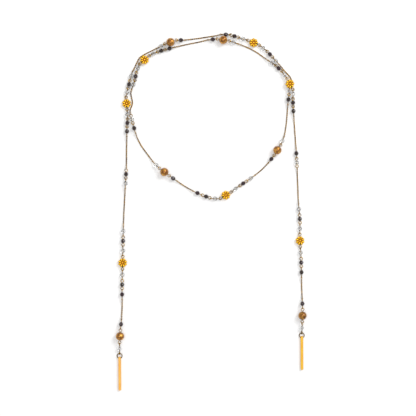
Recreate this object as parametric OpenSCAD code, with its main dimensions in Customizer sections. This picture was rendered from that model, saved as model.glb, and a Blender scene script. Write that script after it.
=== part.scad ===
// Long open bead necklace: groups of beads on linked eye pins, joined by fine cable chain,
// with a square bar at each free end. It lies flat, wound one and a half turns.
// Millimetres. X runs to the right, Y along the necklace, Z up from the surface under it.

/* [Beads] */
// Diameter of a cut bicone bead across its middle
bicone_d = 4.4; // [4.2:0.1:4.5]
// Length of a bicone bead along its bore
bicone_l = 4.1; // [3.9:0.1:4.2]
// Diameter of the flat at each end of a bicone bead
bicone_end_d = 2.3; // [1.8:0.1:2.5]
// Facets round each half of a bicone bead
bicone_facets = 8; // [8:2:12]
// Diameter of a round bead
round_d = 8.4; // [8:0.1:8.4]
// Diameter of a flower bead over its petals
flower_d = 9.1; // [8.8:0.1:9.2]
// Thickness of a flower bead at the crown of its petals
flower_t = 3.5; // [3.5:0.1:3.7]
// Diameter of the bore through every bead
bore_d = 0.9; // [0.8:0.05:1]

/* [Eye pins] */
// Outer diameter of an eye
eye_d = 3.3; // [3.2:0.05:3.35]
// Diameter of an eye's wire
eye_wire_d = 0.55; // [0.5:0.05:0.55]
// Diameter of the straight wire in the bore
pin_d = 0.55; // [0.5:0.05:0.6]
// Free play between two linked eyes
eye_play = 0.13; // [0.12:0.01:0.15]
// Bare wire between a bicone bead and its eye
neck = 0.15; // [0.15:0.05:0.25]
// Bare wire on each side of the bead that hangs next to a bar
end_neck = 0.95; // [0.15:0.05:1.1]

/* [Chain] */
// Width of the cable chain over its links
chain_d = 1.4; // [1.2:0.1:1.5]

/* [Bars] */
// Length of a bar
bar_l = 33.4; // [30:0.1:36]
// Width and height of a bar
bar_w = 2.5; // [2.3:0.1:2.7]
// Width of the bevel along a bar's edges
bar_bevel = 0.3; // [0.1:0.05:0.5]
// Outer diameter of a bar's ring
ring_d = 5.7; // [5.2:0.1:5.8]
// Diameter of the ring's wire
ring_wire_d = 0.8; // [0.7:0.05:0.85]
// Diameter of the hole that the ring passes through
bar_hole_d = 1.6; // [1.6:0.05:1.7]
// Distance from a bar's end to the middle of its hole
bar_hole_inset = 1.3; // [1.2:0.05:1.5]

/* [Hidden] */
$fn = 48;

// Beads of each kind of group, in the order that they are strung. An end bead is a clear
// bicone on the longer pin that hangs next to a bar
FLOWER_GROUP = ["dark", "dark", "clear", "flower", "clear", "dark", "clear"];
ROUND_GROUP = ["clear", "round", "dark"];
END_GROUP = ["end", "round", "dark"];
PAIR = ["clear", "dark"];

// Columns of GROUPS: the beads, whether they are strung backwards, how far along the route
// the group's middle lies, how slack its linked eyes are, from 0 for taut to 1, how far its
// flower is lifted over a chain, and how far its first eye dips under such a flower
BEADS = 0;
BACKWARDS = 1;
MIDDLE = 2;
SLACK = 3;
LIFT = 4;
TUCK = 5;
GROUPS = [
    [END_GROUP, false, 21.1, 0, 0, 0],
    [FLOWER_GROUP, false, 95.1, 0, 0, 0],
    [PAIR, false, 179.1, 0.4, 0, 0],
    [FLOWER_GROUP, false, 254.35, 0.95, 0, 0],
    [ROUND_GROUP, false, 337.5, 0.95, 0, 0],
    [FLOWER_GROUP, false, 422.65, 0.65, 0, 0],
    [PAIR, false, 492.35, 0.7, 0, 1.4],
    [ROUND_GROUP, false, 549.15, 0.95, 0, 0],
    [FLOWER_GROUP, true, 618, 0.35, 0, 0],
    [ROUND_GROUP, true, 687.7, 0.8, 0, 0],
    [PAIR, true, 746.4, 0.55, 0, 0],
    [FLOWER_GROUP, true, 814.8, 0.95, 1, 0],
    [ROUND_GROUP, true, 897.6, 0.95, 0, 0],
    [FLOWER_GROUP, true, 979.9, 0.95, 1.9, 0],
    [PAIR, true, 1054.8, 0.4, 0, 0],
    [FLOWER_GROUP, true, 1137.5, 0, 0, 0],
    [END_GROUP, true, 1213, 0, 0, 0],
];

// Route of the strand over the surface, from the left bar's ring to the right bar's
ROUTE = [
    // Left tail, going away from its bar
    [-91.5, -146.5], [-91.5, -137.5], [-91, -125], [-90, -113], [-89, -94], [-89, -79],
    [-88.5, -51.5], [-88, -29.5], [-87.5, -8], [-86, 21], [-85, 37], [-84.5, 66], [-84, 85],
    // Outer turn, clockwise over the top
    [-83.5, 98], [-85, 107], [-84.2, 119.5], [-81.8, 126.5], [-80.3, 135], [-76.7, 143],
    [-74, 149], [-71.5, 153.5], [-67, 156.5], [-60, 160], [-47, 166.2], [-40, 169.7],
    [-29.5, 170.7], [-11, 173], [4, 175.3], [15.5, 176.8], [23.5, 174.7], [32, 172],
    [43, 168.5], [51.5, 163.5], [57.5, 158], [64.5, 150], [73.5, 140], [80, 131.5],
    // Down the right side, under the sixth flower
    [79.5, 126], [78, 119.5], [77, 111.5], [76, 99], [75, 87], [72.5, 74], [70.5, 69],
    [66.5, 61.5], [60, 52], [51, 42], [39.5, 33], [31.5, 27.5], [24, 22.5], [15, 15.5],
    // Along the bottom and up the left side
    [4.5, 12], [-4.5, 14.5], [-13.5, 18], [-26.5, 25], [-37.5, 32.5], [-47, 39], [-55, 46],
    [-64.5, 58], [-70.5, 66.5], [-74.5, 75], [-77, 83], [-79, 91.5], [-81, 101], [-78.8, 107],
    [-80.2, 119], [-77.7, 126], [-75.7, 132.5], [-74.7, 138.5], [-72.8, 145], [-67, 151],
    // Inner turn, clockwise over the top
    [-58, 157.5], [-50, 160.2], [-41, 162.6], [-24, 166.7], [-12.5, 169], [-2.5, 171.2],
    [1, 171.6], [12.5, 171.1], [21.5, 168.7], [31.5, 165.5], [45, 159], [54, 152.5], [60.5, 148],
    [68.5, 142], [73.5, 135], [79.5, 126.5],
    // Right tail, coming down to its bar
    [82, 118], [81.5, 109.5], [82, 101.5], [83.5, 80.5], [85, 57.5], [85.5, 48.5],
    [86.5, 26], [87.5, 3], [88.5, -7], [88.5, -30], [89.5, -42.5], [90, -57], [90.5, -77],
    [91, -92.5], [91, -104.5], [90.5, -118], [90.5, -126],
];
// Place of the route's zero point, which puts the whole necklace's middle at the origin
route_shift = [-0.2, 0.1];
// Short steps that the smooth route is cut into between two of its points
route_steps = 8;

// Turn of each bar from straight along Y, left and right
bar_turns = [0.5, 0.3];
// How far a linked eye lies below a taller bead's eye, and the dip of its pin's far end
eye_drop = 0.2;
eye_dip = 0.5;
// Bare wire between a round bead or a flower's petals and its eye
round_neck = 0.25;
flower_neck = 0.05;

// Sides of a chain run, its gap to the eyes at its ends, and the least step between its rings
chain_sides = 8;
chain_end_gap = 0.15;
chain_ring_step = 3;

// Rings of a flower bead's face from its centre out. Columns: share of the petals' radius,
// height as a share of half the thickness, and depth of the grooves between the petals
SHARE = 0;
HEIGHT = 1;
GROOVE = 2;
FLOWER_RINGS = [
    [0.17, 0.80, 0],
    [0.28, 0.56, 0],
    [0.48, 0.88, 0.3],
    [0.72, 1.00, 0.45],
    [0.92, 0.82, 0.45],
    [1.00, 0.50, 0.2],
];
flower_dome = 0.9;
flower_petals = 8;
flower_points = 48;
petal_notch = 0.22;
petal_round = 0.7;

eye_r = (eye_d - eye_wire_d) / 2;
// Most that a wire lies from the middle of the eye it passes through: another eye's, the ring's
eye_room = eye_r - eye_wire_d - eye_play;
ring_room = eye_r - (eye_wire_d + ring_wire_d) / 2 - eye_play;
ring_r = (ring_d - ring_wire_d) / 2;
// Distance from the ring's middle to the middle of the hole that its wire curves through
hole_r = (ring_r + ring_wire_d / 2 + sqrt((ring_r - ring_wire_d / 2) ^ 2 - (bar_w / 2) ^ 2)) / 2;

// Smooth route: slopes at the points, short steps between them, and the length up to each step
last = len(ROUTE) - 1;
SPANS = [for (i = [0:last - 1]) norm(ROUTE[i + 1] - ROUTE[i])];
function way(i) = (ROUTE[i + 1] - ROUTE[i]) / SPANS[i];
function slope(i) =
    i == 0 ? way(0)
    : i == last ? way(last - 1)
    : (SPANS[i] * way(i - 1) + SPANS[i - 1] * way(i)) / (SPANS[i - 1] + SPANS[i]);
SLOPES = [for (i = [0:last]) slope(i)];
function smooth(i, t) =
    ROUTE[i] * (2 * t ^ 3 - 3 * t ^ 2 + 1) + ROUTE[i + 1] * (3 * t ^ 2 - 2 * t ^ 3)
    + SPANS[i] * (SLOPES[i] * (t ^ 3 - 2 * t ^ 2 + t) + SLOPES[i + 1] * (t ^ 3 - t ^ 2));
STEPS = [
    for (i = [0:last - 1]) for (k = [0:route_steps - 1]) smooth(i, k / route_steps),
    ROUTE[last],
];
steps_last = len(STEPS) - 1;
LENGTHS = [
    for (
        i = 0, sum = 0;
        i <= steps_last;
        i = i + 1,
        sum = sum + norm(STEPS[min(i, steps_last)] - STEPS[i - 1])
    ) sum,
];

// Step of the route that holds the distance s, and the place at that distance
function step_of(s, low = 0, high = steps_last) =
    let(mid = floor((low + high) / 2))
    high - low < 2 ? low : LENGTHS[mid] > s ? step_of(s, low, mid) : step_of(s, mid, high);
function at(s) =
    let(i = step_of(s), part = (s - LENGTHS[i]) / (LENGTHS[i + 1] - LENGTHS[i]))
    route_shift + STEPS[i] + part * (STEPS[i + 1] - STEPS[i]);
function above(s, z) = [at(s).x, at(s).y, z];
// Distance along the route of the point that lies a straight gap ahead of s
function ahead(s, gap, guess = 0, tries = 4) =
    let(best = guess == 0 ? s + gap : guess)
    tries == 0 ? best : ahead(s, gap, best + sign(gap) * (abs(gap) - norm(at(best) - at(s))), tries - 1);

// Distance from a bead's middle to the middle of its pin's eyes
function reach(bead) =
    eye_d / 2 + (bead == "flower" ? flower_d / 2 + flower_neck
        : bead == "round" ? round_d / 2 + round_neck
        : bead == "end" ? bicone_l / 2 + end_neck
        : bicone_l / 2 + neck);
function level(bead, lift) =
    bead == "round" ? round_d / 2 : bead == "flower" ? flower_t / 2 + lift : bicone_d / 2;
// Height of the eye on one side of a pin, -1 for the first and 1 for the last: bicones hang
// between a taller neighbour's eye and the surface, and tip where their group is tucked under
function eye_z(group, k, side) =
    let(beads = ordered(group),
        own = level(beads[k], group[LIFT]),
        near = level(beads[k + side], group[LIFT]) - eye_drop,
        far = level(beads[k - side], group[LIFT]) - eye_drop,
        tip = k == 0 ? side * group[TUCK] : k == 1 && side == -1 ? max(0, group[TUCK] - eye_drop) : 0)
    beads[k] == "flower" || beads[k] == "round" ? own
    : near > own ? near
    : far > own ? own - min(eye_dip, far - own)
    : own + tip;
// Length on the plan of a straight line that is so long and climbs so far
function plan(length, climb) = sqrt(length ^ 2 - climb ^ 2);

// Pins of a group. Columns: bead, distances of its two eyes along the route, their heights,
// and whether its eyes stand, for an even number, or lie flat
BEAD = 0;
FIRST = 1;
LAST = 2;
FIRST_Z = 3;
LAST_Z = 4;
TURN = 5;
function ordered(group) =
    let(b = group[BEADS]) group[BACKWARDS] ? [for (k = [1:len(b)]) b[len(b) - k]] : b;
function pin_plan(group, k) =
    plan(2 * reach(ordered(group)[k]), eye_z(group, k, 1) - eye_z(group, k, -1));
function link_plan(group, k) =
    eye_r + (1 - 2 * group[SLACK]) * plan(eye_room, eye_z(group, k + 1, -1) - eye_z(group, k, 1));
function total(list, k = 0) = k == len(list) ? 0 : list[k] + total(list, k + 1);
function group_length(group, n) =
    total([for (k = [0:n - 1]) pin_plan(group, k)]) + total([for (k = [0:n - 2]) link_plan(group, k)]);
function pins(group) =
    let(b = ordered(group), start = group[MIDDLE] - group_length(group, len(b)) / 2)
    [
        for (
            k = 0, first = start, end = ahead(first, pin_plan(group, 0));
            k < len(b);
            k = k + 1,
            first = ahead(end, link_plan(group, k - 1)),
            end = ahead(first, pin_plan(group, k))
        ) [b[k], first, end, eye_z(group, k, -1), eye_z(group, k, 1), k + (group[TUCK] > 0 ? 1 : 0)],
    ];
STRUNG = [for (group = GROUPS) pins(group)];
middle_group = floor(len(GROUPS) / 2);
function all_pins(from, to) = [for (g = [from:to]) for (pin = STRUNG[g]) pin];
LEFT_PINS = all_pins(0, middle_group);
RIGHT_PINS = all_pins(middle_group + 1, len(GROUPS) - 1);
function of(bead, list) = [for (pin = list) if (pin[BEAD] == bead) pin];
function clear(list) = concat(of("clear", list), of("end", list));
FLOWERS = of("flower", concat(LEFT_PINS, RIGHT_PINS));
ROUNDS = of("round", concat(LEFT_PINS, RIGHT_PINS));
run_count = len(GROUPS) - 1;

// Lays a child that points along X between a pin's two eyes
module on_pin(pin, roll = 0) {
    a = above(pin[FIRST], pin[FIRST_Z]);
    b = above(pin[LAST], pin[LAST_Z]);
    d = b - a;
    translate((a + b) / 2)
        rotate([roll, -asin(d.z / norm(d)), atan2(d.y, d.x)])
        children();
}

// Wire ring about Z
module wire_ring(r, wire_d) {
    rotate_extrude()
        translate([r, 0])
        circle(d = wire_d, $fn = 24);
}

// Cylinder along X
module rod(d, length) {
    rotate([0, 90, 0])
        cylinder(d = d, h = length, center = true);
}

module eye_pin(bead) {
    for (side = [-1, 1])
        translate([side * reach(bead), 0, 0])
        wire_ring(eye_r, eye_wire_d);
    rod(pin_d, 2 * (reach(bead) - eye_r));
}

module eye_pins(list) {
    color([0.55, 0.44, 0.27])
        for (pin = list)
        on_pin(pin, pin[TURN] % 2 == 0 ? 90 : 0)
        eye_pin(pin[BEAD]);
}

module bicone() {
    difference() {
        for (side = [0, 180])
            rotate([0, 90 + side, 0])
            cylinder(d1 = bicone_d, d2 = bicone_end_d, h = bicone_l / 2, $fn = bicone_facets);
        rod(bore_d, bicone_l + 1);
    }
}

module bicones(list, tint) {
    color(tint)
        for (pin = list)
        on_pin(pin)
        bicone();
}

module round_bead(pin) {
    color([0.66, 0.42, 0.18])
        on_pin(pin)
        difference() {
            rotate([0, 0, 90]) sphere(d = round_d);
            rod(bore_d, round_d + 1);
        }
}

// Point of a flower bead's face, on the ring k and at the angle a. Side is 1 above, -1 below
function petal(a) = abs(sin(a * flower_petals / 2)) ^ petal_round;
function flower_point(k, a, side) =
    let(row = FLOWER_RINGS[k], dip = 1 - petal(a),
        r = flower_d / 2 * row[SHARE] * (1 - petal_notch * row[SHARE] ^ 2 * dip),
        z = flower_t / 2 * row[HEIGHT] * (1 - row[GROOVE] * dip))
    [r * cos(a), r * sin(a), side * z];

// Faces between rings of n points each, with a first and a last pole
function pole_faces(rings, n) = [
    for (j = [0:n - 1]) [0, 1 + (j + 1) % n, 1 + j],
    for (i = [0:rings - 2]) for (j = [0:n - 1])
        [1 + i * n + j, 1 + i * n + (j + 1) % n, 1 + (i + 1) * n + (j + 1) % n, 1 + (i + 1) * n + j],
    for (j = [0:n - 1]) [1 + rings * n, 1 + (rings - 1) * n + j, 1 + (rings - 1) * n + (j + 1) % n],
];

module flower_bead(pin) {
    n = len(FLOWER_RINGS);
    turn = 360 / flower_points;
    points = [
        [0, 0, flower_t / 2 * flower_dome],
        for (k = [0:n - 1]) for (j = [0:flower_points - 1]) flower_point(k, j * turn, 1),
        for (k = [1:n]) for (j = [0:flower_points - 1]) flower_point(n - k, j * turn, -1),
        [0, 0, -flower_t / 2 * flower_dome],
    ];
    color([0.93, 0.70, 0.18])
        on_pin(pin)
        difference() {
            polyhedron(points, pole_faces(2 * n, flower_points));
            rod(bore_d, flower_d + 1);
        }
}

// Distances along the route of a chain run's rings: its two ends, and the route's own points
// between them
function run_marks(a, b) = [
    a,
    for (i = [0:last])
        let(s = LENGTHS[i * route_steps])
        if (s > a + chain_ring_step && s < b - chain_ring_step) s,
    b,
];

// Tube with flat ends through the middles c, with its flats level
function tube_points(c, r, sides) = [
    for (i = [0:len(c) - 1])
        let(d = c[min(i + 1, len(c) - 1)] - c[max(i - 1, 0)],
            side = [d.y, -d.x, 0] / norm([d.x, d.y]),
            up = cross(side, d) / norm(d))
        for (j = [0:sides - 1])
            let(a = (j + 0.5) * 360 / sides)
            c[i] + r * (side * cos(a) + up * sin(a)),
];
function tube_faces(rings, n) = [
    [for (j = [0:n - 1]) n - 1 - j],
    for (i = [0:rings - 2]) for (j = [0:n - 1])
        [i * n + j, i * n + (j + 1) % n, (i + 1) * n + (j + 1) % n, (i + 1) * n + j],
    [for (j = [0:n - 1]) (rings - 1) * n + j],
];

module chain_run(i) {
    before = STRUNG[i - 1][len(STRUNG[i - 1]) - 1];
    after = STRUNG[i][0];
    marks = run_marks(
        before[LAST] + eye_d / 2 + chain_end_gap,
        after[FIRST] - eye_d / 2 - chain_end_gap
    );
    c = [for (s = marks) above(s, chain_d / 2 * cos(180 / chain_sides))];
    color([0.66, 0.60, 0.50])
        polyhedron(tube_points(c, chain_d / 2, chain_sides), tube_faces(len(c), chain_sides));
}

// Place of a bar's ring, linked to the strand's first eye or its last
LEFT_EYE = LEFT_PINS[0];
RIGHT_EYE = RIGHT_PINS[len(RIGHT_PINS) - 1];
left_ring = at(ahead(LEFT_EYE[FIRST], -ring_r - plan(ring_room, LEFT_EYE[FIRST_Z] - bar_w / 2)));
right_ring = at(ahead(RIGHT_EYE[LAST], ring_r + plan(ring_room, RIGHT_EYE[LAST_Z] - bar_w / 2)));

module bar_ring(place) {
    color([0.45, 0.37, 0.28])
        translate([place.x, place.y, bar_w / 2])
        wire_ring(ring_r, ring_wire_d);
}

// Rectangle with bevelled corners
module bevelled(w, h) {
    x = w / 2;
    y = h / 2;
    b = bar_bevel;
    polygon([
        [x, y - b], [x - b, y], [b - x, y], [-x, y - b],
        [-x, b - y], [b - x, -y], [x - b, -y], [x, b - y],
    ]);
}

module bar(place, turn) {
    color([0.93, 0.68, 0.28])
        translate([place.x, place.y, bar_w / 2])
        rotate([0, 0, turn])
        translate([0, -hole_r, 0])
        difference() {
            translate([0, bar_hole_inset - bar_l / 2, 0])
                intersection() {
                    linear_extrude(bar_w, center = true) bevelled(bar_w, bar_l);
                    rotate([90, 0, 0]) linear_extrude(bar_l, center = true) bevelled(bar_w, bar_w);
                    rotate([90, 0, 90]) linear_extrude(bar_w, center = true) bevelled(bar_l, bar_w);
                }
            rod(bar_hole_d, bar_w + 1);
        }
}

for (i = [1:len(FLOWERS)])
    flower_bead(FLOWERS[i - 1]);
for (i = [1:len(ROUNDS)])
    round_bead(ROUNDS[i - 1]);
for (i = [1:run_count])
    chain_run(i);
bicones(of("dark", LEFT_PINS), [0.22, 0.18, 0.19]);  // dark_bicones_left
bicones(of("dark", RIGHT_PINS), [0.22, 0.18, 0.19]);  // dark_bicones_right
bicones(clear(LEFT_PINS), [0.8, 0.84, 0.86]);  // clear_bicones_left
bicones(clear(RIGHT_PINS), [0.8, 0.84, 0.86]);  // clear_bicones_right
eye_pins(LEFT_PINS);  // eye_pins_left
eye_pins(RIGHT_PINS);  // eye_pins_right
bar_ring(left_ring);  // bar_ring_left
bar_ring(right_ring);  // bar_ring_right
bar(left_ring, bar_turns[0]);  // bar_left
bar(right_ring, bar_turns[1]);  // bar_right
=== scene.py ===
"""Looks of a long beaded necklace that lies wound one and a half turns on a pale surface.

Cut glass bicones, round lustre beads and gold flower beads sit on bent eye pins, linked eye to
eye, with runs of fine cable chain between their groups and a square bar at each free end.
Lengths are in metres, in the frame of the solids: X right, Y along the necklace, Z up.
"""

import bisect
import math
from collections import namedtuple

import bmesh
import bpy
from mathutils import Euler, Matrix, Vector


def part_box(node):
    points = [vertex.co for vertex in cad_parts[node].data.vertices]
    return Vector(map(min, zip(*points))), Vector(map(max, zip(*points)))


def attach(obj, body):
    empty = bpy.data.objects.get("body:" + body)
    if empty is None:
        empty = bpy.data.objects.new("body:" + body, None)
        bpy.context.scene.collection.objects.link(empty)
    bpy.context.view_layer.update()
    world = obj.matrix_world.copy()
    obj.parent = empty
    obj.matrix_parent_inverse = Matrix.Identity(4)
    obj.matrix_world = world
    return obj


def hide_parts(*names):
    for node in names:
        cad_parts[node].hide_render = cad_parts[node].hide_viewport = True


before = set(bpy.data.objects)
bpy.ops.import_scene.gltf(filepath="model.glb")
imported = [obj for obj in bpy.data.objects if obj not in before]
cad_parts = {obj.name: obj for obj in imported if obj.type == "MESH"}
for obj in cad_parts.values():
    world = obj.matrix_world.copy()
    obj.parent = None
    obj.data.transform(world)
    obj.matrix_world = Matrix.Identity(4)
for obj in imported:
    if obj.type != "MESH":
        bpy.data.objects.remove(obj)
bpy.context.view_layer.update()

MM = 0.001

# Sizes, the same as those of the solids
BICONE_D, BICONE_L, BICONE_END_D = 4.4 * MM, 4.1 * MM, 2.3 * MM
ROUND_D = 8.4 * MM
FLOWER_D, FLOWER_T = 9.1 * MM, 3.5 * MM
BORE_D = 0.9 * MM
EYE_D, EYE_WIRE, EYE_PLAY = 3.3 * MM, 0.55 * MM, 0.13 * MM
# Radius of an eye's centre line, and how far to either side of it the next eye's middle may lie
EYE_R = (EYE_D - EYE_WIRE) / 2
EYE_ROOM = EYE_R - EYE_WIRE - EYE_PLAY
# How far an eye stands below the middle of a higher bead next to it, and how far at most the
# other eye of the same pin dips
EYE_DROP, EYE_DIP = 0.2 * MM, 0.5 * MM
RING_D, RING_WIRE = 5.7 * MM, 0.8 * MM

# Length of each kind of bead, and the gap between it and the eyes of its pin. An end bead is a
# clear bicone on the longer pin that hangs next to a bar
BEADS = {
    "dark": (BICONE_L, 0.15 * MM),
    "clear": (BICONE_L, 0.15 * MM),
    "end": (BICONE_L, 0.95 * MM),
    "round": (ROUND_D, 0.25 * MM),
    "flower": (FLOWER_D, 0.05 * MM),
}
# From the middle of a bead to the middle of either eye
REACH = {bead: EYE_D / 2 + length / 2 + gap for bead, (length, gap) in BEADS.items()}

# The drawn wire of the pins, a little stouter than the solids' and on the same centre line
PIN_WIRE = 0.64 * MM
# How far the eyes next to a bar lean over from upright, in degrees
END_SLANT = 22
# How far each bicone is turned on its pin from the bead before, in degrees
BICONE_TURN = 11
# Petals of a flower bead
PETALS = 8

# Chain links, the wider ones that hold the eyes at the ends of a run, and the room between an
# eye's wire and such a link's
LINK_WIRE = 0.44 * MM
LINK_L, LINK_W = 1.98 * MM, 1.4 * MM
END_LINK_L, END_LINK_W = 2.15 * MM, 1.65 * MM
LINK_PITCH = 1.05 * MM
LINK_PLAY = 0.05 * MM
EYE_TO_LINK = (PIN_WIRE + LINK_WIRE) / 2 + LINK_PLAY
# How far a chain runs level from an eye, and the length over which it then comes down
CHAIN_LEVEL, CHAIN_SETTLE = 1.2 * MM, 7 * MM
# How far the links turn to and fro, in degrees, and over how many links that sets in
CHAIN_SWAY, SWAY_ONSET = 25, 4

# How far each ring's split lies from the side towards its bar, counterclockwise, in degrees
RING_TURNS = {"left": 60, "right": 115}

# Beads of each kind of group, in the order that they are strung
FLOWER_GROUP = ["dark", "dark", "clear", "flower", "clear", "dark", "clear"]
ROUND_GROUP = ["clear", "round", "dark"]
END_GROUP = ["end", "round", "dark"]
PAIR = ["clear", "dark"]

# Where each group lies along the route, how slack its linked eyes are, how far its flower is
# lifted over a chain, and how far its first eye dips under such a flower. That dip is 0.02 mm
# less than in the solids, so that the stouter wire lies on the surface
Group = namedtuple("Group", "beads middle slack lift tuck")
GROUPS = [
    Group(END_GROUP, 21.1 * MM, 0, 0, 0),
    Group(FLOWER_GROUP, 95.1 * MM, 0, 0, 0),
    Group(PAIR, 179.1 * MM, 0.4, 0, 0),
    Group(FLOWER_GROUP, 254.35 * MM, 0.95, 0, 0),
    Group(ROUND_GROUP, 337.5 * MM, 0.95, 0, 0),
    Group(FLOWER_GROUP, 422.65 * MM, 0.65, 0, 0),
    Group(PAIR, 492.35 * MM, 0.7, 0, 1.38 * MM),
    Group(ROUND_GROUP, 549.15 * MM, 0.95, 0, 0),
    Group(FLOWER_GROUP[::-1], 618 * MM, 0.35, 0, 0),
    Group(ROUND_GROUP[::-1], 687.7 * MM, 0.8, 0, 0),
    Group(PAIR[::-1], 746.4 * MM, 0.55, 0, 0),
    Group(FLOWER_GROUP[::-1], 814.8 * MM, 0.95, 1 * MM, 0),
    Group(ROUND_GROUP[::-1], 897.6 * MM, 0.95, 0, 0),
    Group(FLOWER_GROUP[::-1], 979.9 * MM, 0.95, 1.9 * MM, 0),
    Group(PAIR[::-1], 1054.8 * MM, 0.4, 0, 0),
    Group(FLOWER_GROUP[::-1], 1137.5 * MM, 0, 0, 0),
    Group(END_GROUP[::-1], 1213 * MM, 0, 0, 0),
]
# How many of them belong to the left half of the strand
LEFT_GROUPS = 9

# Route of the strand in millimetres, from the left bar's ring to the right bar's, and a shift
# of the whole route
ROUTE_SHIFT = (-0.2, 0.1)
ROUTE = [
    # Left tail, going away from its bar
    (-91.5, -146.5), (-91.5, -137.5), (-91, -125), (-90, -113), (-89, -94), (-89, -79),
    (-88.5, -51.5), (-88, -29.5), (-87.5, -8), (-86, 21), (-85, 37), (-84.5, 66), (-84, 85),
    # Outer turn, clockwise over the top
    (-83.5, 98), (-85, 107), (-84.2, 119.5), (-81.8, 126.5), (-80.3, 135), (-76.7, 143),
    (-74, 149), (-71.5, 153.5), (-67, 156.5), (-60, 160), (-47, 166.2), (-40, 169.7),
    (-29.5, 170.7), (-11, 173), (4, 175.3), (15.5, 176.8), (23.5, 174.7), (32, 172),
    (43, 168.5), (51.5, 163.5), (57.5, 158), (64.5, 150), (73.5, 140), (80, 131.5),
    # Down the right side, under the sixth flower
    (79.5, 126), (78, 119.5), (77, 111.5), (76, 99), (75, 87), (72.5, 74), (70.5, 69),
    (66.5, 61.5), (60, 52), (51, 42), (39.5, 33), (31.5, 27.5), (24, 22.5), (15, 15.5),
    # Along the bottom and up the left side
    (4.5, 12), (-4.5, 14.5), (-13.5, 18), (-26.5, 25), (-37.5, 32.5), (-47, 39), (-55, 46),
    (-64.5, 58), (-70.5, 66.5), (-74.5, 75), (-77, 83), (-79, 91.5), (-81, 101), (-78.8, 107),
    (-80.2, 119), (-77.7, 126), (-75.7, 132.5), (-74.7, 138.5), (-72.8, 145), (-67, 151),
    # Inner turn, clockwise over the top
    (-58, 157.5), (-50, 160.2), (-41, 162.6), (-24, 166.7), (-12.5, 169), (-2.5, 171.2),
    (1, 171.6), (12.5, 171.1), (21.5, 168.7), (31.5, 165.5), (45, 159), (54, 152.5), (60.5, 148),
    (68.5, 142), (73.5, 135), (79.5, 126.5),
    # Right tail, coming down to its bar
    (82, 118), (81.5, 109.5), (82, 101.5), (83.5, 80.5), (85, 57.5), (85.5, 48.5),
    (86.5, 26), (87.5, 3), (88.5, -7), (88.5, -30), (89.5, -42.5), (90, -57), (90.5, -77),
    (91, -92.5), (91, -104.5), (90.5, -118), (90.5, -126),
]
# Straight steps from one point of the route to the next
ROUTE_STEPS = 8

# Points this close together are one, and points this near a place are taken to be at it. A ring
# of points is picked by a radius so many times its own
CLOSE, NEAR, JUST_OVER = 0.002 * MM, 0.01 * MM, 1.01

# Width of the surface under the necklace, and the hair's breadth that it lies lower
SURFACE_SIZE, SURFACE_GAP = 14, 0.02 * MM

# The photo's frame, where a pixel is a millimetre, the middle of the view, and the camera's lens
# and sensor in millimetres
PHOTO_SIDE = 416 * MM
VIEW_MIDDLE = (-3.4 * MM, 3.35 * MM)
LENS, SENSOR = 100, 36


class Route:
    """The smooth line that the strand follows over the surface."""

    def __init__(self, points, steps):
        spans = [(b - a).length for a, b in zip(points, points[1:])]
        ways = [(b - a) / span for a, b, span in zip(points, points[1:], spans)]
        slopes = [ways[0]]
        for i in range(1, len(points) - 1):
            before, after = spans[i - 1], spans[i]
            slopes.append((after * ways[i - 1] + before * ways[i]) / (before + after))
        slopes.append(ways[-1])
        self.steps = []
        for i, span in enumerate(spans):
            for k in range(steps):
                t = k / steps
                self.steps.append(
                    points[i] * (2 * t**3 - 3 * t**2 + 1)
                    + points[i + 1] * (3 * t**2 - 2 * t**3)
                    + span * (slopes[i] * (t**3 - 2 * t**2 + t) + slopes[i + 1] * (t**3 - t**2))
                )
        self.steps.append(points[-1])
        self.lengths = [0.0]
        for a, b in zip(self.steps, self.steps[1:]):
            self.lengths.append(self.lengths[-1] + (b - a).length)

    def at(self, s, z=0.0):
        """Point at the distance s along the route, at the height z."""
        i = min(max(bisect.bisect_right(self.lengths, s) - 1, 0), len(self.steps) - 2)
        part = (s - self.lengths[i]) / (self.lengths[i + 1] - self.lengths[i])
        x, y = self.steps[i].lerp(self.steps[i + 1], part)
        return Vector((x, y, z))

    def ahead(self, s, gap):
        """Distance along the route of the point that lies a straight gap ahead of s, found in a
        few rounds that close in on it."""
        best, rounds = s + gap, 4
        for _ in range(rounds):
            miss = abs(gap) - (self.at(best) - self.at(s)).length
            best += math.copysign(miss, gap)
        return best


route = Route(
    [Vector(((x + ROUTE_SHIFT[0]) * MM, (y + ROUTE_SHIFT[1]) * MM)) for x, y in ROUTE], ROUTE_STEPS
)


def plan(length, climb):
    """Length on the plan of a straight line that is so long and climbs so far."""
    return math.sqrt(length**2 - climb**2)


def level(group, k):
    """Height of the middle of a group's bead, or of a bicone past the group's end."""
    bead = group.beads[k] if 0 <= k < len(group.beads) else "clear"
    if bead == "round":
        return ROUND_D / 2
    if bead == "flower":
        return FLOWER_T / 2 + group.lift
    return BICONE_D / 2


def eye_height(group, k, side):
    """Height of one eye of a bead's pin. Side is -1 for its first eye and 1 for its last."""
    own = level(group, k)
    near = level(group, k + side) - EYE_DROP
    far = level(group, k - side) - EYE_DROP
    if group.beads[k] in ("round", "flower"):
        return own
    if near > own:
        return near
    if far > own:
        return own - min(EYE_DIP, far - own)
    if k == 0:
        return own + side * group.tuck
    if k == 1 and side == -1:
        return own + max(0, group.tuck - EYE_DROP)
    return own


# A pin's bead, its two eyes' distances along the route and heights, and whether they stand
Pin = namedtuple("Pin", "bead first last first_z last_z upright")


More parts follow.
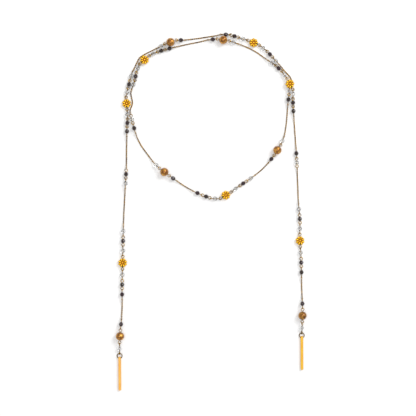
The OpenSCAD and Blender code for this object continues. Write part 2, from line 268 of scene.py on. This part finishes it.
def strung(group):
    """The pins of a group."""
    heights = [(eye_height(group, k, -1), eye_height(group, k, 1)) for k in range(len(group.beads))]
    lengths = [plan(2 * REACH[b], z[1] - z[0]) for b, z in zip(group.beads, heights)]
    links = [
        EYE_R + (1 - 2 * group.slack) * plan(EYE_ROOM, b[0] - a[1])
        for a, b in zip(heights, heights[1:])
    ]
    start = group.middle - (sum(lengths) + sum(links)) / 2
    pins = []
    for k, (bead, (first_z, last_z)) in enumerate(zip(group.beads, heights)):
        end = route.ahead(start, lengths[k])
        upright = (k + (group.tuck > 0)) % 2 == 0
        pins.append(Pin(bead, start, end, first_z, last_z, upright))
        if k < len(links):
            start = route.ahead(end, links[k])
    return pins


STRUNG = [strung(group) for group in GROUPS]
SIDES = {
    "left": [pin for pins in STRUNG[:LEFT_GROUPS] for pin in pins],
    "right": [pin for pins in STRUNG[LEFT_GROUPS:] for pin in pins],
}


def between(a, b, roll=0.0):
    """Place that lays what points along X from the point a to the point b."""
    d = b - a
    turn = Euler((roll, -math.asin(d.z / d.length), math.atan2(d.y, d.x)), "XYZ")
    return Matrix.Translation((a + b) / 2) @ turn.to_matrix().to_4x4()


def on_pin(pin, roll=0.0):
    """Place of what a pin carries."""
    return between(route.at(pin.first, pin.first_z), route.at(pin.last, pin.last_z), roll)


def of_pin(pin):
    """Place of the pin itself, whose eyes stand or lie flat. Those next to a bar stand aslant."""
    if pin.bead == "end":
        going_up = route.at(pin.first).y < route.at(pin.last).y
        return on_pin(pin, math.radians(90 + END_SLANT if going_up else 90 - END_SLANT))
    return on_pin(pin, math.pi / 2 if pin.upright else 0)


# Modelling by hand


def begin(add, **settings):
    """A new piece from one of the primitives, alone selected, in edit mode."""
    bpy.ops.object.select_all(action="DESELECT")
    add(**settings)
    bpy.ops.object.transform_apply(location=True, rotation=True, scale=True)
    bpy.ops.object.mode_set(mode="EDIT")
    return bpy.context.object


def select(piece, test):
    """Selects the vertices that pass the test, and the edges and faces between them."""
    bpy.ops.mesh.select_mode(type="VERT")
    bpy.ops.mesh.select_all(action="DESELECT")
    mesh = bmesh.from_edit_mesh(piece.data)
    for v in mesh.verts:
        v.select = test(v.co)
    mesh.select_flush_mode()
    bmesh.update_edit_mesh(piece.data)


def join_doubles():
    """Merges what lies in one place and turns every face outwards."""
    bpy.ops.mesh.select_all(action="SELECT")
    bpy.ops.mesh.remove_doubles(threshold=CLOSE)
    bpy.ops.mesh.normals_make_consistent(inside=False)


def end(piece, name, smooth=None):
    """Leaves edit mode. Edges sharper than the smooth angle in degrees stay sharp."""
    bpy.ops.object.mode_set(mode="OBJECT")
    piece.name = piece.data.name = name
    if smooth is not None:
        bpy.ops.object.shade_smooth_by_angle(angle=math.radians(smooth))
    return piece


def modify(piece, kind, **settings):
    """Adds a modifier and applies it."""
    modifier = piece.modifiers.new(kind.title(), kind)
    for key, value in settings.items():
        setattr(modifier, key, value)
    bpy.ops.object.select_all(action="DESELECT")
    piece.select_set(True)
    bpy.context.view_layer.objects.active = piece
    bpy.ops.object.modifier_apply(modifier=modifier.name)


def wire_end(wire_d, sides, place):
    """Open end of a wire that runs along X from a place, ready to be drawn out and bent."""
    return begin(
        bpy.ops.mesh.primitive_circle_add,
        vertices=sides, radius=wire_d / 2, fill_type="NOTHING",
        location=place, rotation=(0, math.pi / 2, 0),
    )


def draw_out(x=0.0, z=0.0):
    """Draws the selected ring out straight."""
    bpy.ops.mesh.extrude_edges_move(TRANSFORM_OT_translate={"value": (x, 0, z)})


def bend(degrees, centre, steps):
    """Bends the wire on from the selected ring, to the left round a centre in its plane."""
    bpy.ops.mesh.spin(steps=steps, angle=-math.radians(degrees), center=centre, axis=(0, 0, 1))


def strand(name, placed, slot, *nodes):
    """One piece that stands for these nodes, joined from a copy of each model at its place."""
    bpy.ops.object.select_all(action="DESELECT")
    copies = []
    for model, place in placed:
        one = model.copy()
        one.data = model.data.copy()
        one.data.transform(place)
        bpy.context.scene.collection.objects.link(one)
        one.select_set(True)
        copies.append(one)
    piece = bpy.context.view_layer.objects.active = copies[0]
    if len(copies) > 1:
        bpy.ops.object.join()
    piece.name = piece.data.name = name
    piece.data.materials.append(FINISHES[slot])
    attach(piece, "root")
    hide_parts(*nodes)


# Finishes


class Field:
    """A value or colour that changes over a surface, so that its maths reads as expressions."""

    def __init__(self, finish, socket):
        self.finish, self.socket = finish, socket

    def math(self, operation, a, b):
        inputs = {"Value": a, "Value_001": b}
        return self.finish.node("ShaderNodeMath", inputs, "Value", operation=operation)

    def __add__(self, other):
        return self.math("ADD", self, other)

    def __sub__(self, other):
        return self.math("SUBTRACT", self, other)

    def __rsub__(self, other):
        return self.math("SUBTRACT", other, self)

    def __mul__(self, other):
        return self.math("MULTIPLY", self, other)

    __radd__, __rmul__ = __add__, __mul__

    def ramp(self, low, high):
        """0 below low, 1 above high, and smooth between them."""
        inputs = {"Value": self, "From Min": low, "From Max": high, "To Min": 0.0, "To Max": 1.0}
        return self.finish.node(
            "ShaderNodeMapRange", inputs, "Result", interpolation_type="SMOOTHSTEP"
        )


class Finish:
    """A material on its way: its nodes and its main shader."""

    def __init__(self, name, **settings):
        self.material = bpy.data.materials.new(name)
        self.material.use_nodes = True
        self.tree = self.material.node_tree
        self.shader = self.tree.nodes["Principled BSDF"]
        for key, value in settings.items():
            socket = key.replace("_", " ").title().replace("Ior", "IOR")
            self.feed(self.shader.inputs[socket], value)

    def feed(self, socket, value):
        """Links a field to a socket, or sets the socket to a number or a colour."""
        if isinstance(value, Field):
            self.tree.links.new(value.socket, socket)
        elif socket.type == "RGBA":
            socket.default_value = (*value, 1.0)
        else:
            socket.default_value = value

    def node(self, kind, inputs, output, **settings):
        """Output of a new node, with its settings made first and then its inputs."""
        made = self.tree.nodes.new(kind)
        for key, value in settings.items():
            setattr(made, key, value)
        for key, value in inputs.items():
            self.feed(next(s for s in made.inputs if key in (s.identifier, s.name)), value)
        return Field(self, next(s for s in made.outputs if output in (s.identifier, s.name)))

    def place(self, stretch=(1, 1, 1)):
        """Place in the necklace's own frame, stretched along its axes."""
        where = self.node("ShaderNodeTexCoord", {}, "Object")
        return self.node("ShaderNodeMapping", {"Vector": where, "Scale": stretch}, "Vector")

    def noise(self, where, size, detail=2.0, roughness=0.5):
        """Cloudy value from 0 to 1 whose patches are about a size across."""
        inputs = {"Vector": where, "Scale": 1 / size, "Detail": detail, "Roughness": roughness}
        return self.node("ShaderNodeTexNoise", inputs, "Fac")

    def blend(self, amount, a, b):
        """Colour a where the amount is 0, and b where it is 1."""
        inputs = {"Factor_Float": amount, "A_Color": a, "B_Color": b}
        return self.node("ShaderNodeMix", inputs, "Result_Color", data_type="RGBA")

    def bump(self, height, depth):
        """Surface relief of so many metres where the height goes from 0 to 1."""
        normal = self.node(
            "ShaderNodeBump", {"Height": height, "Distance": depth, "Strength": 1.0}, "Normal"
        )
        self.feed(self.shader.inputs["Normal"], normal)

    def colour(self, value):
        self.feed(self.shader.inputs["Base Color"], value)

    def roughness(self, value):
        self.feed(self.shader.inputs["Roughness"], value)


def tone(red, green, blue):
    """Linear colour of a colour that is read off a screen, 0 to 255."""
    shares = (red / 255, green / 255, blue / 255)
    return tuple(s / 12.92 if s <= 0.04045 else ((s + 0.055) / 1.055) ** 2.4 for s in shares)


def antique_brass(name, light, dark, patch, roughness):
    """Brass wire, darkened in patches and brighter where it is rubbed."""
    finish = Finish(name, metallic=1.0, specular_tint=tone(200, 140, 40))
    tarnish = finish.noise(finish.place(), patch, detail=3.0, roughness=0.6).ramp(0.38, 0.66)
    grain = finish.noise(finish.place(), 0.12 * MM)
    finish.colour(finish.blend(tarnish, light, dark))
    finish.roughness(tarnish * 0.14 + grain * 0.08 + roughness)
    finish.bump(grain, 0.006 * MM)
    return finish.material


def cut_glass(name, tint, sheen, transmission, roughness, ior):
    """Polished cut glass, whose tint drifts to the colour of its sheen from bead to bead."""
    finish = Finish(name, transmission_weight=transmission, roughness=roughness, ior=ior)
    drift = finish.noise(finish.place(), 5 * MM, detail=1.0).ramp(0.4, 0.62)
    finish.colour(finish.blend(drift, tint, sheen))
    return finish.material


def bronze_lustre():
    """Opaque glass with a bronze and gold lustre, mottled over the bead."""
    finish = Finish("bronze_lustre", metallic=0.8, coat_weight=0.4, coat_roughness=0.08)
    clouds = finish.noise(finish.place(), 2.4 * MM, detail=3.0, roughness=0.6)
    specks = finish.noise(finish.place(), 0.5 * MM, roughness=0.7)
    gold = clouds.ramp(0.42, 0.62)
    dark = (specks * 0.6 + (1 - clouds) * 0.5).ramp(0.5, 0.68)
    base = finish.blend(gold, tone(159, 101, 38), tone(214, 157, 63))
    # The bead next to the right bar is darker than the others
    across = finish.node("ShaderNodeSeparateXYZ", {"Vector": finish.place()}, "X")
    shade = dark * 0.65 + across.ramp(70 * MM, 90 * MM) * 0.35
    finish.colour(finish.blend(shade, base, tone(80, 40, 15)))
    finish.roughness(0.26 + specks * 0.16)
    finish.bump(specks, 0.03 * MM)
    return finish.material


def petal_gold():
    """Satin gold plate, brown where it lies deep between the petals and round the centre."""
    finish = Finish("petal_gold", metallic=0.9)
    depth = finish.node("ShaderNodeAttribute", {}, "Fac", attribute_name="recess")
    grain = finish.noise(finish.place(), 0.25 * MM)
    recess = (depth + (grain - 0.5) * 0.3).ramp(0.08, 0.46)
    # Painted shade: dark brown laid in the groove by the bore's mouth at one end, as though that
    # notch lay in shadow
    painted_mouth_shade = finish.node("ShaderNodeAttribute", {}, "Fac", attribute_name="painted_mouth_shade")
    painted_shade = (painted_mouth_shade + (grain - 0.5) * 0.4).ramp(0.15, 0.45)
    plate = finish.blend(recess, tone(241, 191, 49), tone(172, 86, 30))
    finish.colour(finish.blend(painted_shade, plate, tone(52, 22, 10)))
    finish.roughness(0.3 + recess * 0.25 + grain * 0.1)
    finish.bump(grain, 0.012 * MM)
    return finish.material


def bar_gold():
    """Matt gold plate, finely brushed along the bar."""
    finish = Finish("matt_bar_gold", metallic=0.85)
    brushing = finish.noise(finish.place((1, 0.04, 1)), 0.09 * MM, detail=3.0, roughness=0.6)
    clouds = finish.noise(finish.place((1, 0.5, 1)), 3 * MM)
    # The right bar is a little yellower than the left
    across = finish.node("ShaderNodeSeparateXYZ", {"Vector": finish.place()}, "X")
    to_right = across.ramp(-60 * MM, 60 * MM)
    plate = finish.blend(to_right, tone(232, 180, 96), tone(228, 182, 64))
    finish.colour(finish.blend(clouds.ramp(0.35, 0.7) * 0.5, plate, tone(226, 156, 62)))
    finish.roughness(0.42 + brushing * 0.16)
    finish.bump(brushing, 0.008 * MM)
    return finish.material


FINISHES = {
    "pin_brass": antique_brass(
        "eye_pin_brass", light=tone(178, 137, 20), dark=tone(74, 54, 4),
        patch=1.6 * MM, roughness=0.2,
    ),
    "chain_brass": antique_brass(
        "chain_brass", light=tone(176, 134, 24), dark=tone(94, 66, 8),
        patch=2.4 * MM, roughness=0.24,
    ),
    "ring_brass": antique_brass(
        "ring_brass", light=tone(126, 98, 40), dark=tone(58, 42, 16),
        patch=1.4 * MM, roughness=0.24,
    ),
    "dark_glass": cut_glass(
        "smoky_cut_glass", tint=tone(54, 34, 41), sheen=tone(52, 42, 34),
        transmission=0.2, roughness=0.03, ior=1.52,
    ),
    "clear_glass": cut_glass(
        "clear_cut_glass", tint=tone(248, 248, 246), sheen=tone(242, 243, 246),
        transmission=1.0, roughness=0.0, ior=1.58,
    ),
    "lustre_glass": bronze_lustre(),
    "flower_gold": petal_gold(),
    "bar_gold": bar_gold(),
}


# Chain


def cable_link(name, length, width):
    """Oval wire link in the XY plane, its length along X."""
    turn_r = (width - LINK_WIRE) / 2
    straight = length - width
    sides, steps = 5, 5
    link = wire_end(LINK_WIRE, sides, (-straight / 2, -turn_r, 0))
    draw_out(x=straight)
    bend(180, (straight / 2, 0, 0), steps)
    draw_out(x=-straight)
    bend(180, (-straight / 2, 0, 0), steps)
    join_doubles()
    return end(link, name, smooth=75)


def held(pin, eye, towards):
    """Near and far end of the wire of a link that pulls at a pin's eye towards a point."""
    across = of_pin(pin).to_3x3() @ Vector((0, 0, 1))
    pull = towards - eye
    pull -= pull.dot(across) * across
    wire = eye + pull.normalized() * EYE_R
    wire.z = max(wire.z, END_LINK_W / 2)
    along = (towards - wire).normalized()
    near = wire - along * EYE_TO_LINK
    return near, near + along * (END_LINK_L - LINK_WIRE)


def held_up(distance):
    """Share of an eye's height that a chain still has at a distance from it, from 1 down to 0."""
    part = min(max(distance - CHAIN_LEVEL, 0) / CHAIN_SETTLE, 1)
    return 1 - part**2 * (3 - 2 * part)


def chain_places(before, after):
    """Places of the links from one group's last eye to the next group's first."""
    half = (END_LINK_L - LINK_WIRE) / 2
    hold = EYE_R - EYE_TO_LINK + half
    start, finish = before.last + hold, after.first - hold
    # An end link stands this much further from its neighbour than a plain one does
    join = (END_LINK_L - LINK_L) / 2
    count = math.ceil((finish - start - 2 * join) / LINK_PITCH)
    pitch = (finish - start - 2 * join) / count
    rest = LINK_W / 2

    def height(s):
        from_before = (before.last_z - rest) * held_up(s - before.last)
        from_after = (after.first_z - rest) * held_up(after.first - s)
        return rest + from_before + from_after

    # Each link is a quarter turn on from the one before. Where the last would then not hang
    # from its eye, one more quarter turn is shared out over the run
    first_roll, last_roll = (0 if pin.upright else 90 for pin in (before, after))
    twist = 0 if (first_roll + 90 * count - last_roll) % 180 == 0 else 90
    places = []
    for i in range(count + 1):
        s = start + (join if i else 0) + i * pitch + (join if i == count else 0)
        reach = half if i in (0, count) else pitch / 2
        a, b = (route.at(s + way, height(s + way)) for way in (-reach, reach))
        if i == 0:
            a, b = held(before, route.at(before.last, before.last_z), b)
        if i == count:
            b, a = held(after, route.at(after.first, after.first_z), a)
        sway = CHAIN_SWAY * math.sin(i / 2) * min(1, i / SWAY_ONSET, (count - i) / SWAY_ONSET)
        if i == count and not after.upright:
            # A link that would reach below the surface leans over
            sway = math.degrees(math.asin(min(1, (a.z + b.z) / END_LINK_W))) - 90
        roll = first_roll + 90 * i + twist * i / count + sway
        places.append(between(a, b, math.radians(roll)))
    return places


link_model = cable_link("cable_link", LINK_L, LINK_W)
end_link_model = cable_link("end_link", END_LINK_L, END_LINK_W)
for i in range(1, len(GROUPS)):
    places = chain_places(STRUNG[i - 1][-1], STRUNG[i][0])
    links = [end_link_model, *[link_model] * (len(places) - 2), end_link_model]
    strand(f"chain_links_{i}", zip(links, places), "chain_brass", f"chain_run_{i}")


# Eye pins


def bent_eye_pin(bead):
    """Wire through a bead of this kind, bent into an eye at each end, in the XY plane."""
    sides, neck_steps, eye_steps = 10, 3, 20
    # How far the neck bends aside, and how far the eye is then bent round the other way
    lean, round_eye = 75, 320
    share = math.cos(math.radians(lean))
    bend_r = EYE_R * share / (1 - share)
    bend_x = REACH[bead] - (EYE_R + bend_r) * math.sin(math.radians(lean))
    pin = wire_end(PIN_WIRE, sides, (0, 0, 0))
    draw_out(x=bend_x)
    bend(lean, (bend_x, bend_r, 0), neck_steps)
    bend(-round_eye, (REACH[bead], 0, 0), eye_steps)
    bpy.ops.mesh.edge_face_add()
    bpy.ops.mesh.select_all(action="SELECT")
    bpy.ops.mesh.duplicate()
    bpy.ops.transform.rotate(value=math.pi, orient_axis="Z", center_override=(0, 0, 0))
    join_doubles()
    return end(pin, f"{bead}_eye_pin", smooth=50)


pin_models = {bead: bent_eye_pin(bead) for bead in REACH}
for side, pins in SIDES.items():
    placed = [(pin_models[pin.bead], of_pin(pin)) for pin in pins]
    strand(f"bent_eye_pins_{side}", placed, "pin_brass", f"eye_pins_{side}")


# Glass beads


def cut_bicone():
    """Bicone along X: two rings of crossing facets on each half, and a bore."""
    half, end_r, waist_r, bore_r = BICONE_L / 2, BICONE_END_D / 2, BICONE_D / 2, BORE_D / 2
    shoulder, shoulder_r = half * 0.5, waist_r * 0.82
    facets = 8
    half_facet = math.radians(180 / facets)
    rings = [
        # Distance along the bead, radius, and whether the ring is turned by half a facet
        (-half, end_r, False), (-shoulder, shoulder_r, True), (0, waist_r, False),
        (shoulder, shoulder_r, True), (half, end_r, False), (half, bore_r, False),
    ]
    bead = wire_end(BORE_D, facets, (-half, 0, 0))
    x, r, turned = -half, bore_r, False
    for next_x, next_r, next_turned in rings:
        draw_out(x=next_x - x)
        bpy.ops.transform.resize(value=(1, next_r / r, next_r / r), center_override=(next_x, 0, 0))
        if next_turned != turned:
            angle = half_facet if next_turned else -half_facet
            bpy.ops.transform.rotate(value=angle, orient_axis="X", center_override=(next_x, 0, 0))
        x, r, turned = next_x, next_r, next_turned
    select(bead, lambda co: co.yz.length < bore_r + NEAR)
    bpy.ops.mesh.bridge_edge_loops()
    bpy.ops.mesh.select_all(action="SELECT")
    bpy.ops.mesh.quads_convert_to_tris(quad_method="SHORTEST_DIAGONAL")
    join_doubles()
    return end(bead, "cut_bicone")


bicone_model = cut_bicone()
for side, pins in SIDES.items():
    for kind, beads in (("dark", ["dark"]), ("clear", ["clear", "end"])):
        placed = [
            (bicone_model, on_pin(pin, math.radians(BICONE_TURN * n)))
            for n, pin in enumerate(pins) if pin.bead in beads
        ]
        strand(f"cut_{kind}_beads_{side}", placed, f"{kind}_glass", f"{kind}_bicones_{side}")


def lustre_bead():
    """Round bead with a bore along X and eased bore mouths."""
    segments, ring_count = 40, 36
    bore_r, mouth_ease = BORE_D / 2, 0.12 * MM
    bead = begin(
        bpy.ops.mesh.primitive_uv_sphere_add,
        segments=segments, ring_count=ring_count, radius=ROUND_D / 2,
        rotation=(0, math.pi / 2, 0),
    )
    select(bead, lambda co: co.yz.length < NEAR)
    bpy.ops.mesh.delete(type="VERT")
    # The rings next to the poles become the mouths of the bore
    first_r = ROUND_D / 2 * math.sin(math.pi / ring_count)
    select(bead, lambda co: co.yz.length < first_r * JUST_OVER)
    draw_in, widen = 0.999, bore_r / first_r
    bpy.ops.transform.resize(value=(draw_in, widen, widen), center_override=(0, 0, 0))
    bpy.ops.mesh.bridge_edge_loops()
    # Of the bore's edges, only those round its mouths are eased
    select(bead, lambda co: co.yz.length < bore_r * JUST_OVER)
    mesh = bmesh.from_edit_mesh(bead.data)
    bpy.ops.mesh.select_mode(type="EDGE")
    for edge in mesh.edges:
        a, b = (v.co for v in edge.verts)
        edge.select = edge.select and abs(a.x - b.x) < NEAR
    bmesh.update_edit_mesh(bead.data)
    bpy.ops.mesh.bevel(offset=mouth_ease, segments=2)
    join_doubles()
    return end(bead, "lustre_bead", smooth=40)


lustre_model = lustre_bead()
rounds = [pin for side in SIDES.values() for pin in side if pin.bead == "round"]
for i, pin in enumerate(rounds, 1):
    strand(f"lustre_bead_{i}", [(lustre_model, on_pin(pin))], "lustre_glass", f"round_bead_{i}")


# Flower beads


def flower():
    """Flat flower in the XY plane: a domed centre in a sunk ring, and eight round petals."""
    rings = [
        # Radius and height as shares of the flower's, and how deep its grooves are cut
        (0.13, 0.84, 0.0), (0.20, 0.72, 0.0), (0.235, 0.5, 0.0), (0.29, 0.5, 0.0),
        (0.36, 0.74, 0.28), (0.50, 0.92, 0.42), (0.68, 1.0, 0.5), (0.84, 0.95, 0.55),
        (0.95, 0.76, 0.55), (1.0, 0.44, 0.4), (1.0, 0.0, 0.0),
    ]
    # Points across a petal, how far the edge draws in between two petals, as a share, and how
    # full a petal stays towards its edges: less is fuller
    across, notch, fullness = 8, 0.24, 0.7
    dome_rise, dome_share = FLOWER_T * 0.03, 0.5
    first_r, first_z = FLOWER_D / 2 * rings[0][0], FLOWER_T / 2 * rings[0][1]
    piece = begin(
        bpy.ops.mesh.primitive_circle_add,
        vertices=PETALS * across, radius=first_r, fill_type="NOTHING", location=(0, 0, first_z),
    )
    r, z = first_r, first_z
    for share, height, _ in rings[1:]:
        next_r, next_z = FLOWER_D / 2 * share, FLOWER_T / 2 * height
        draw_out(z=next_z - z)
        bpy.ops.transform.resize(value=(next_r / r, next_r / r, 1), center_override=(0, 0, next_z))
        r, z = next_r, next_z
    # The middle closes in a low dome
    select(piece, lambda co: co.xy.length < first_r * JUST_OVER)
    draw_out(z=dome_rise)
    bpy.ops.transform.resize(value=(dome_share, dome_share, 1), center_override=(0, 0, 0))
    bpy.ops.mesh.edge_face_add()
    bpy.ops.mesh.poke()
    # Step 0 lies between two petals, and the others come in pairs, one on each side of it
    for share, height, groove in rings:
        ring_r, ring_z = FLOWER_D / 2 * share, FLOWER_T / 2 * height
        for step in range(across // 2):
            dip = 1 - math.sin(math.pi * step / across) ** fullness

            def on_step(co):
                if max(abs(co.xy.length - ring_r), abs(co.z - ring_z)) > 2 * NEAR:
                    return False
                turn = math.degrees(math.atan2(co.y, co.x)) * PETALS / 360 % 1 * across
                return min(abs(turn - at) for at in (step, across - step, across + step)) < 0.1

            select(piece, on_step)
            narrow = 1 - notch * share**2 * dip
            lower = 1 - groove * dip
            bpy.ops.transform.resize(value=(narrow, narrow, lower), center_override=(0, 0, 0))
    bpy.ops.object.mode_set(mode="OBJECT")
    modify(piece, "MIRROR", use_axis=(False, False, True), merge_threshold=NEAR)
    modify(piece, "SUBSURF", levels=1, render_levels=1)
    bpy.ops.object.mode_set(mode="EDIT")
    join_doubles()
    # Subdividing drew the flower in, so it is brought back to size
    corners = [v.co for v in piece.data.vertices]
    widen = FLOWER_D / 2 / max(co.xy.length for co in corners)
    thicken = FLOWER_T / 2 / max(co.z for co in corners)
    bpy.ops.transform.resize(value=(widen, widen, thicken), center_override=(0, 0, 0))
    return end(piece, "flower", smooth=60)


def mark_recess(piece):
    """Marks how deep each point lies between the petals or round the centre, 0 to 1, and the
    painted shade in the groove by the mouth of the bore, at the low end of X."""
    # As shares of the radius: where the grooves start and end, over what lengths they deepen
    # and fade, and where the sunk ring lies and how wide it is
    start, deepen, finish, fade = 0.2, 0.15, 1.02, 0.3
    sunk_r, sunk_w = 0.26, 0.07
    # How far out the painted shade at the mouth starts, over what length it sets in, and half its
    # width
    mouth_shade_start, mouth_shade_onset, mouth_shade_half = 1.9 * MM, 1.2 * MM, 1.5 * MM
    recess = piece.data.attributes.new("recess", "FLOAT", "POINT")
    painted_mouth_shade = piece.data.attributes.new("painted_mouth_shade", "FLOAT", "POINT")
    for i, v in enumerate(piece.data.vertices):
        r, turn = v.co.xy.length / (FLOWER_D / 2), math.atan2(v.co.y, v.co.x)
        groove = 1 - abs(math.sin(PETALS / 2 * turn))
        along = min(1, max(0, (r - start) / deepen)) * min(1, max(0, (finish - r) / fade))
        centre = math.exp(-(((r - sunk_r) / sunk_w) ** 2))
        recess.data[i].value = max(groove**2 * along, centre)
        # Painted shade in the groove by the bore's mouth, at the low end of X
        shade_by_mouth = min(1, max(0, (-v.co.x - mouth_shade_start) / mouth_shade_onset))
        painted_mouth_shade.data[i].value = groove * shade_by_mouth if abs(v.co.y) < mouth_shade_half else 0


def drill(piece):
    """Drills the bore along X, right through."""
    sides, bit_length = 20, FLOWER_D * 1.2
    bpy.ops.object.select_all(action="DESELECT")
    bpy.ops.mesh.primitive_cylinder_add(
        vertices=sides, radius=BORE_D / 2, depth=bit_length, rotation=(0, math.pi / 2, 0)
    )
    bit = bpy.context.object
    modify(piece, "BOOLEAN", operation="DIFFERENCE", object=bit, solver="EXACT")
    bpy.data.objects.remove(bit)


flower_model = flower()
drill(flower_model)
mark_recess(flower_model)
flowers = [pin for side in SIDES.values() for pin in side if pin.bead == "flower"]
for i, pin in enumerate(flowers, 1):
    # The painted shade at the mouth goes at the end lower in Y, away from the light, which is the
    # end nearer the bars
    turn = 0 if route.at(pin.first).y < route.at(pin.last).y else math.pi
    place = on_pin(pin) @ Matrix.Rotation(turn, 4, "Z")
    strand(f"flower_{i}", [(flower_model, place)], "flower_gold", f"flower_bead_{i}")


# Bars and their rings


def split_ring():
    """Round wire ring in the XY plane, closed but for a fine split."""
    sides, steps, closed = 12, 48, 357.5
    ring = wire_end(RING_WIRE, sides, (0, (RING_WIRE - RING_D) / 2, 0))
    bend(closed, (0, 0, 0), steps)
    bpy.ops.mesh.edge_face_add()
    select(ring, lambda co: abs(co.x) < CLOSE and co.y < 0)
    bpy.ops.mesh.edge_face_add()
    join_doubles()
    return end(ring, "split_ring", smooth=50)


ring_model = split_ring()
for side, turn in RING_TURNS.items():
    low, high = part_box(f"bar_ring_{side}")
    place = Matrix.Translation((low + high) / 2) @ Matrix.Rotation(math.radians(turn), 4, "Z")
    strand(f"split_ring_{side}", [(ring_model, place)], "ring_brass", f"bar_ring_{side}")
    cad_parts[f"bar_{side}"].data.materials.clear()
    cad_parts[f"bar_{side}"].data.materials.append(FINISHES["bar_gold"])

models = [link_model, end_link_model, bicone_model, lustre_model, flower_model, ring_model]
for model in [*models, *pin_models.values()]:
    bpy.data.objects.remove(model)


# Surface, lights and camera


def surface():
    """White surface just under the necklace, many times its size."""
    bpy.ops.object.select_all(action="DESELECT")
    bpy.ops.mesh.primitive_plane_add(size=SURFACE_SIZE, location=(0, 0, -SURFACE_GAP))
    piece = bpy.context.object
    piece.name = "surface"
    finish = Finish("white_surface", base_color=(0.97, 0.97, 0.97), roughness=0.7)
    piece.data.materials.append(finish.material)


def softbox(name, towards, distance, size, power):
    """Square soft light that faces the necklace from a direction."""
    light = bpy.data.lights.new(name, "AREA")
    light.size, light.energy = size, power
    lamp = bpy.data.objects.new(name, light)
    lamp.location = Vector(towards).normalized() * distance
    lamp.rotation_euler = lamp.location.to_track_quat("Z", "Y").to_euler()
    bpy.context.scene.collection.objects.link(lamp)


surface()
softbox("key_from_upper_right", (0.75, 0.7, 0.95), distance=1.8, size=0.8, power=15)
softbox("overhead", (-0.1, 0.0, 1), distance=2.2, size=1.2, power=12)

world = bpy.data.worlds.new("studio")
world.use_nodes = True
background = world.node_tree.nodes["Background"]
background.inputs["Color"].default_value = (1, 1, 1, 1)
background.inputs["Strength"].default_value = 0.64
bpy.context.scene.world = world

camera_data = bpy.data.cameras.new("straight_above")
camera_data.lens, camera_data.sensor_width = LENS, SENSOR
camera = bpy.data.objects.new("straight_above", camera_data)
camera.location = (*VIEW_MIDDLE, PHOTO_SIDE * LENS / SENSOR)
bpy.context.scene.collection.objects.link(camera)
bpy.context.scene.camera = camera
bpy.context.scene.view_settings.view_transform = "Standard"
